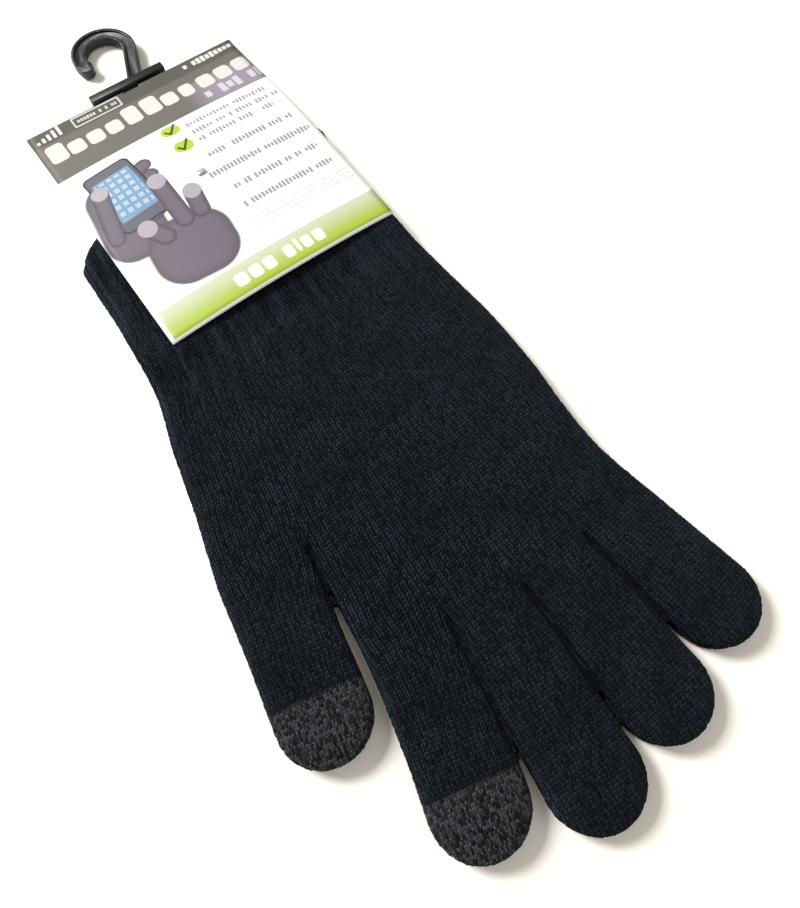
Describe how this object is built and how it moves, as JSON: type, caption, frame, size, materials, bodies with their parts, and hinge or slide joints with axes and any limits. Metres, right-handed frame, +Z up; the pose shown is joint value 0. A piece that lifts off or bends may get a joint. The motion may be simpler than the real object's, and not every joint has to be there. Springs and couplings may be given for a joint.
{
  "type": "touchscreen gloves",
  "caption": "Pair of knitted touchscreen gloves laid flat on a folded header card, with a tag pin, a moulded display hook and folding digits.",
  "frame": {"origin": "under the middle of the palms, on the card's centre line, in the plane that the pack lies on", "axes": "+Y along the gloves towards the hook, +X towards the little fingers of the upper glove, +Z up from the surface that the pack lies on"},
  "size_m": [0.1155, 0.2867, 0.0101],
  "materials": {
    "black_knit": "plain knit, matt",
    "conductive_knit": "heathered knit, matt",
    "printed_board": "coated board, satin",
    "hanger_moulding": "semi-gloss",
    "pin_nylon": "satin"
  },
  "bodies": {
    "card_pack": {"header_card": "printed_board", "tag_pin": "pin_nylon", "right_glove_cuff": "black_knit", "left_glove_cuff": "black_knit"},
    "hanger": {"hanger_hook": "hanger_moulding"},
    "right_palm": {"right_glove_palm": "black_knit"},
    "right_thumb": {"right_glove_thumb": "black_knit", "right_glove_thumb_tip": "conductive_knit"},
    "right_index": {"right_glove_index_finger": "black_knit", "right_glove_index_tip": "conductive_knit"},
    "right_middle": {"right_glove_middle_finger": "black_knit"},
    "right_ring": {"right_glove_ring_finger": "black_knit"},
    "right_little": {"right_glove_little_finger": "black_knit"},
    "left_palm": {"left_glove_palm": "black_knit"},
    "left_thumb": {"left_glove_thumb": "black_knit", "left_glove_thumb_tip": "conductive_knit"},
    "left_index": {"left_glove_index_finger": "black_knit", "left_glove_index_tip": "conductive_knit"},
    "left_middle": {"left_glove_middle_finger": "black_knit"},
    "left_ring": {"left_glove_ring_finger": "black_knit"},
    "left_little": {"left_glove_little_finger": "black_knit"}
  },
  "joints": [
    {"name": "hanger_swing", "type": "hinge", "parent": "card_pack", "child": "hanger", "pos_m": [0, 0.1463, 0.0022], "axis": [1, 0, 0], "range_deg": [0, 30]},
    {"name": "right_wrist_fold", "type": "hinge", "parent": "card_pack", "child": "right_palm", "pos_m": [0, 0.042, 0.006], "axis": [-1, 0, 0], "range_deg": [0, 60]},
    {"name": "right_thumb_curl", "type": "hinge", "parent": "right_palm", "child": "right_thumb", "pos_m": [-0.0506, -0.0146, 0.006], "axis": [-0.9744, 0.225, 0], "range_deg": [0, 90]},
    {"name": "right_index_curl", "type": "hinge", "parent": "right_palm", "child": "right_index", "pos_m": [0, -0.048, 0.006], "axis": [-1, 0, 0], "range_deg": [0, 90]},
    {"name": "right_middle_curl", "type": "hinge", "parent": "right_palm", "child": "right_middle", "pos_m": [0, -0.048, 0.006], "axis": [-1, 0, 0], "range_deg": [0, 90]},
    {"name": "right_ring_curl", "type": "hinge", "parent": "right_palm", "child": "right_ring", "pos_m": [0, -0.048, 0.006], "axis": [-1, 0, 0], "range_deg": [0, 90]},
    {"name": "right_little_curl", "type": "hinge", "parent": "right_palm", "child": "right_little", "pos_m": [0, -0.048, 0.006], "axis": [-1, 0, 0], "range_deg": [0, 90]},
    {"name": "left_wrist_fold", "type": "hinge", "parent": "card_pack", "child": "left_palm", "pos_m": [0, 0.042, 0.006], "axis": [-1, 0, 0], "range_deg": [0, 60]},
    {"name": "left_thumb_curl", "type": "hinge", "parent": "left_palm", "child": "left_thumb", "pos_m": [-0.0506, -0.0146, 0.006], "axis": [-0.9744, 0.225, 0], "range_deg": [0, 90]},
    {"name": "left_index_curl", "type": "hinge", "parent": "left_palm", "child": "left_index", "pos_m": [0, -0.048, 0.006], "axis": [-1, 0, 0], "range_deg": [0, 90]},
    {"name": "left_middle_curl", "type": "hinge", "parent": "left_palm", "child": "left_middle", "pos_m": [0, -0.048, 0.006], "axis": [-1, 0, 0], "range_deg": [0, 90]},
    {"name": "left_ring_curl", "type": "hinge", "parent": "left_palm", "child": "left_ring", "pos_m": [0, -0.048, 0.006], "axis": [-1, 0, 0], "range_deg": [0, 90]},
    {"name": "left_little_curl", "type": "hinge", "parent": "left_palm", "child": "left_little", "pos_m": [0, -0.048, 0.006], "axis": [-1, 0, 0], "range_deg": [0, 90]}
  ],
  "couplings": [
    {"joint": "left_wrist_fold", "follows": "right_wrist_fold", "ratio": 1},
    {"joint": "left_thumb_curl", "follows": "right_thumb_curl", "ratio": 1},
    {"joint": "left_index_curl", "follows": "right_index_curl", "ratio": 1},
    {"joint": "left_middle_curl", "follows": "right_middle_curl", "ratio": 1},
    {"joint": "left_ring_curl", "follows": "right_ring_curl", "ratio": 1},
    {"joint": "left_little_curl", "follows": "right_little_curl", "ratio": 1}
  ]
}
